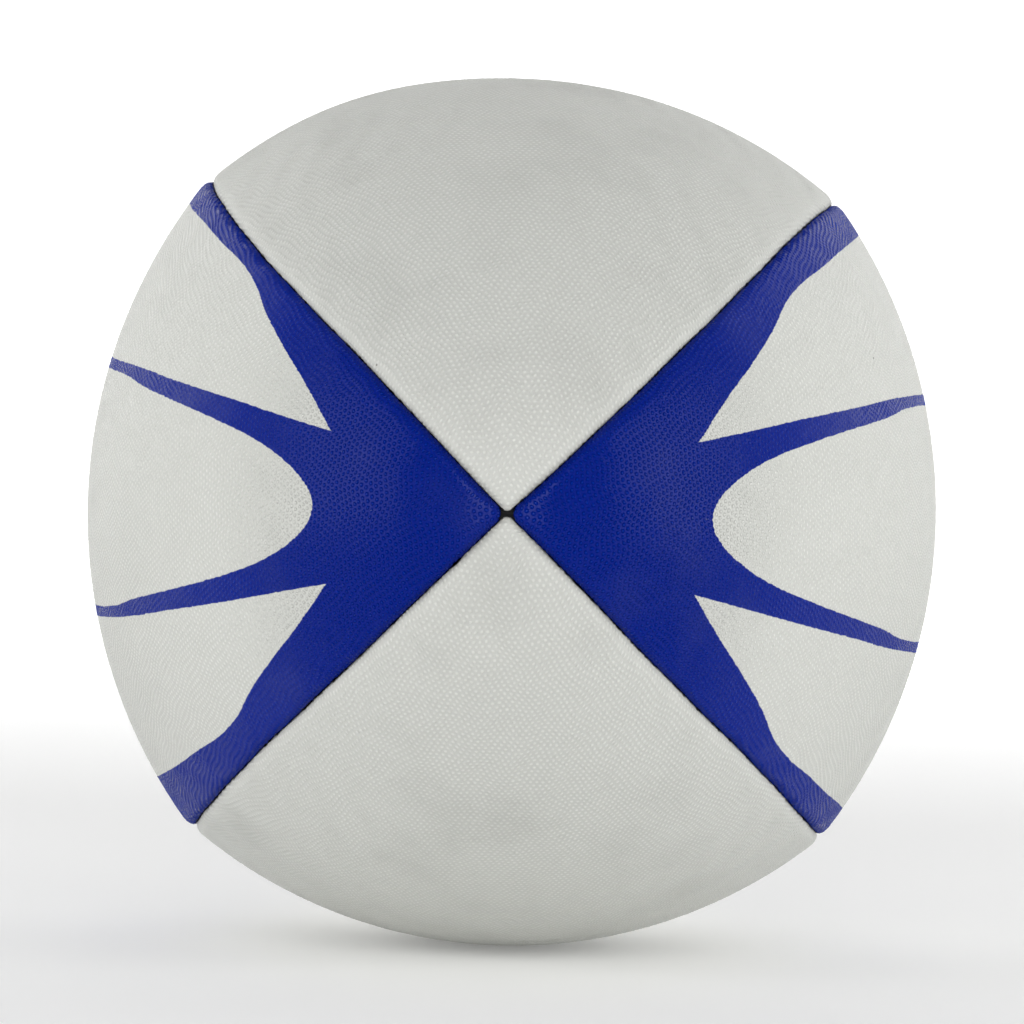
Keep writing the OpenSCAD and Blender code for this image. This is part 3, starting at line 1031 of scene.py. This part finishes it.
# Polyester fibres are about 0.02 mm, too fine to show, so they are drawn as clumps of 0.4 mm.
FIBRE = 0.4167
WAX = 4.167
waxed, tree, shader = new_material("waxed_polyester_thread")
spot = add(tree, "TexCoord").outputs["Object"]
fibre = add(tree, "TexNoise", {"Vector": spot, "Scale": 1 / (FIBRE * MM), "Detail": 4.0})
wax = add(tree, "TexNoise", {"Vector": spot, "Scale": 1 / (WAX * MM), "Detail": 2.0})
shade = add(tree, "Mix", {0: fibre, 6: "#B9AE93", 7: "#E6DEC9"}, data_type="RGBA")
thick = add(tree, "MapRange", {0: wax, 1: 0.45, 2: 0.65, 3: 0.0, 4: 0.4})
waxy = add(tree, "Mix", {0: thick, 6: shade.outputs[2], 7: "#C8A968"}, data_type="RGBA")
rough = add(tree, "MapRange", {0: wax, 1: 0.4, 2: 0.7, 3: 0.6, 4: 0.35})
bump = add(tree, "Bump", {"Height": fibre, "Distance": 0.05 * MM})
tree.links.new(waxy.outputs[2], shader.inputs["Base Color"])
tree.links.new(rough.outputs[0], shader.inputs["Roughness"])
tree.links.new(bump.outputs[0], shader.inputs["Normal"])
shader.inputs["IOR"].default_value = 1.45

SEAMS = (("top_right", "top", -1), ("top_left", "top", 1),
         ("bottom_left", "bottom", -1), ("bottom_right", "bottom", 1))
for name, panel_name, side in SEAMS:
    threads = stitching(name, panel_name, side)
    threads.data.materials.append(waxed)
    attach(threads, "ball")
    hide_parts("seam_thread_" + name)
print("four seams sewn, each", len(threads.data.polygons), "faces")

# %% [markdown]
# ## The valve
# The housing is a soft black tube with a broad flange, which is vulcanised into the bladder. The plug
# is a separate firmer rubber. It is pressed into the tube, and the air keeps its sides sealed.
# It has a funnel to lead the needle in, and a waist that snaps into a ring inside the housing.

# %% The housing and the plug
NOSE_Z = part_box("valve_plug")[1][2] / MM
VALVE_LENGTH = 21.0
TUBE_RADIUS = 4.58
BORE_RADIUS = 2.79
HEAD_BORE = 3.64
HEAD_DEPTH = 1.5
FLANGE_RADIUS = 14.0
FLANGE_TOP = 3.16
FLANGE_THICK = 1.38


def housing():
    """Tube and flange in one, with moulded rings on the tube and a thinner rim."""
    panel = panels["top"]

    def drop(r):
        return panel.mid - r * r / (2 * panel.mid)

    low = NOSE_Z - VALVE_LENGTH
    rings = [(TUBE_RADIUS - 0.25 * (i % 2), NOSE_Z - 0.6 - 1.0 * i) for i in range(3)]
    flange = [(r, drop(r) - FLANGE_TOP) for r in (TUBE_RADIUS, 7, 9.5, 12)]
    rim = [(13.6, drop(13.6) - FLANGE_TOP - 0.1), (FLANGE_RADIUS, drop(14) - FLANGE_TOP - 0.6),
           (13.6, drop(13.6) - FLANGE_TOP - 1.2)]
    under = [(r, drop(r) - FLANGE_TOP - FLANGE_THICK) for r in (12, 9.5, 7, 5.2)]
    tube = [(TUBE_RADIUS, drop(5) - FLANGE_TOP - FLANGE_THICK - 0.8), (TUBE_RADIUS, low + 0.4),
            (TUBE_RADIUS - 0.4, low)]
    bore = [(BORE_RADIUS, low), (BORE_RADIUS, NOSE_Z - HEAD_DEPTH), (HEAD_BORE, NOSE_Z - HEAD_DEPTH),
            (HEAD_BORE, NOSE_Z - 0.15), (HEAD_BORE + 0.15, NOSE_Z)]
    nose = [(TUBE_RADIUS - 0.3, NOSE_Z), (TUBE_RADIUS, NOSE_Z - 0.3)]
    return turned("valve_housing_moulded", nose + rings + flange + rim + under + tube + bore)


def plug():
    """The plug: a head with a funnel, a waisted shank, and the blind hole for the needle."""
    head, shank, top = 3.6, 2.73, NOSE_Z - HEAD_DEPTH
    low = top - 17.0
    outside = [(head - 0.3, NOSE_Z), (head - 0.08, NOSE_Z - 0.1), (head, NOSE_Z - 0.35),
               (head, top + 0.02),
               (shank, top + 0.02), (shank, top - 5.1), (shank - 0.4, top - 5.4), (shank - 0.4, top - 9.9),
               (shank, top - 10.2), (shank, low + 1.8), (shank - 0.25, low + 0.9),
               (shank - 0.8, low), (0.05, low)]
    inside = [(0.05, NOSE_Z - 12.6), (1.1, NOSE_Z - 12.0), (1.1, NOSE_Z - 0.9), (1.25, NOSE_Z - 0.45),
              (1.75, NOSE_Z - 0.12), (2.1, NOSE_Z), (2.5, NOSE_Z - 0.12), (2.9, NOSE_Z)]
    return turned("valve_plug_turned", outside + inside)


MOULD_GRAIN = 0.526
TALC = 11.11


def black_rubber(name, colour, dusty, rough):
    """Moulded black rubber with fine grain, a dusting of talc and a few scuffs."""
    material, tree, shader = new_material(name)
    spot = add(tree, "TexCoord").outputs["Object"]
    # The mould's grain is about 0.1 mm, too fine to show, so it is drawn five times as coarse.
    grain = add(tree, "TexNoise", {"Vector": spot, "Scale": 1 / (MOULD_GRAIN * MM), "Detail": 3.0})
    dust = add(tree, "TexNoise", {"Vector": spot, "Scale": 1 / (TALC * MM), "Detail": 5.0})
    talc = add(tree, "MapRange", {0: dust, 1: 0.42, 2: 0.78, 3: 0.0, 4: dusty},
               interpolation_type="SMOOTHSTEP")
    dusted = add(tree, "Mix", {0: talc, 6: colour, 7: "#9A9C9C"}, data_type="RGBA")
    dull = add(tree, "MapRange", {0: grain, 1: 0.3, 2: 0.7, 3: rough - 0.08, 4: rough + 0.1})
    tree.links.new(dusted.outputs[2], shader.inputs["Base Color"])
    tree.links.new(dull.outputs[0], shader.inputs["Roughness"])
    bump = add(tree, "Bump", {"Height": grain, "Distance": 0.04 * MM})
    tree.links.new(bump.outputs[0], shader.inputs["Normal"])
    shader.inputs["IOR"].default_value = 1.52
    return material


valve_housing = housing()
valve_housing.data.materials.append(black_rubber("moulded_valve_rubber", "#1B1C1E", 0.12, 0.55))
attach(valve_housing, "ball")
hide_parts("valve_housing")

valve_plug = plug()
valve_plug.data.materials.append(black_rubber("firm_plug_rubber", "#26282B", 0.06, 0.42))
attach(valve_plug, "plug")
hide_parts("valve_plug")
print("the valve's nose is at", round(NOSE_Z, 2), "mm")

# %% [markdown]
# ## The bladder
# The bladder keeps its solid from the frame. It is dipped latex, dusted with talc so that it can
# slide on the cloth while the ball is pumped up, so it looks like grey satin rather than black gloss.

# %% The bladder's rubber
bladder = bpy.data.objects["bladder"]
bladder.data.materials.clear()
bladder.data.materials.append(black_rubber("talced_bladder_latex", "#2A2A2C", 0.45, 0.5))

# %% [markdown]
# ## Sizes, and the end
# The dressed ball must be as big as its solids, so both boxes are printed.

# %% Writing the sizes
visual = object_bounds()
for low, high in (cad_bounds, visual):
    print("box of", [round((b - a) / MM, 1) for a, b in zip(low, high)], "mm")
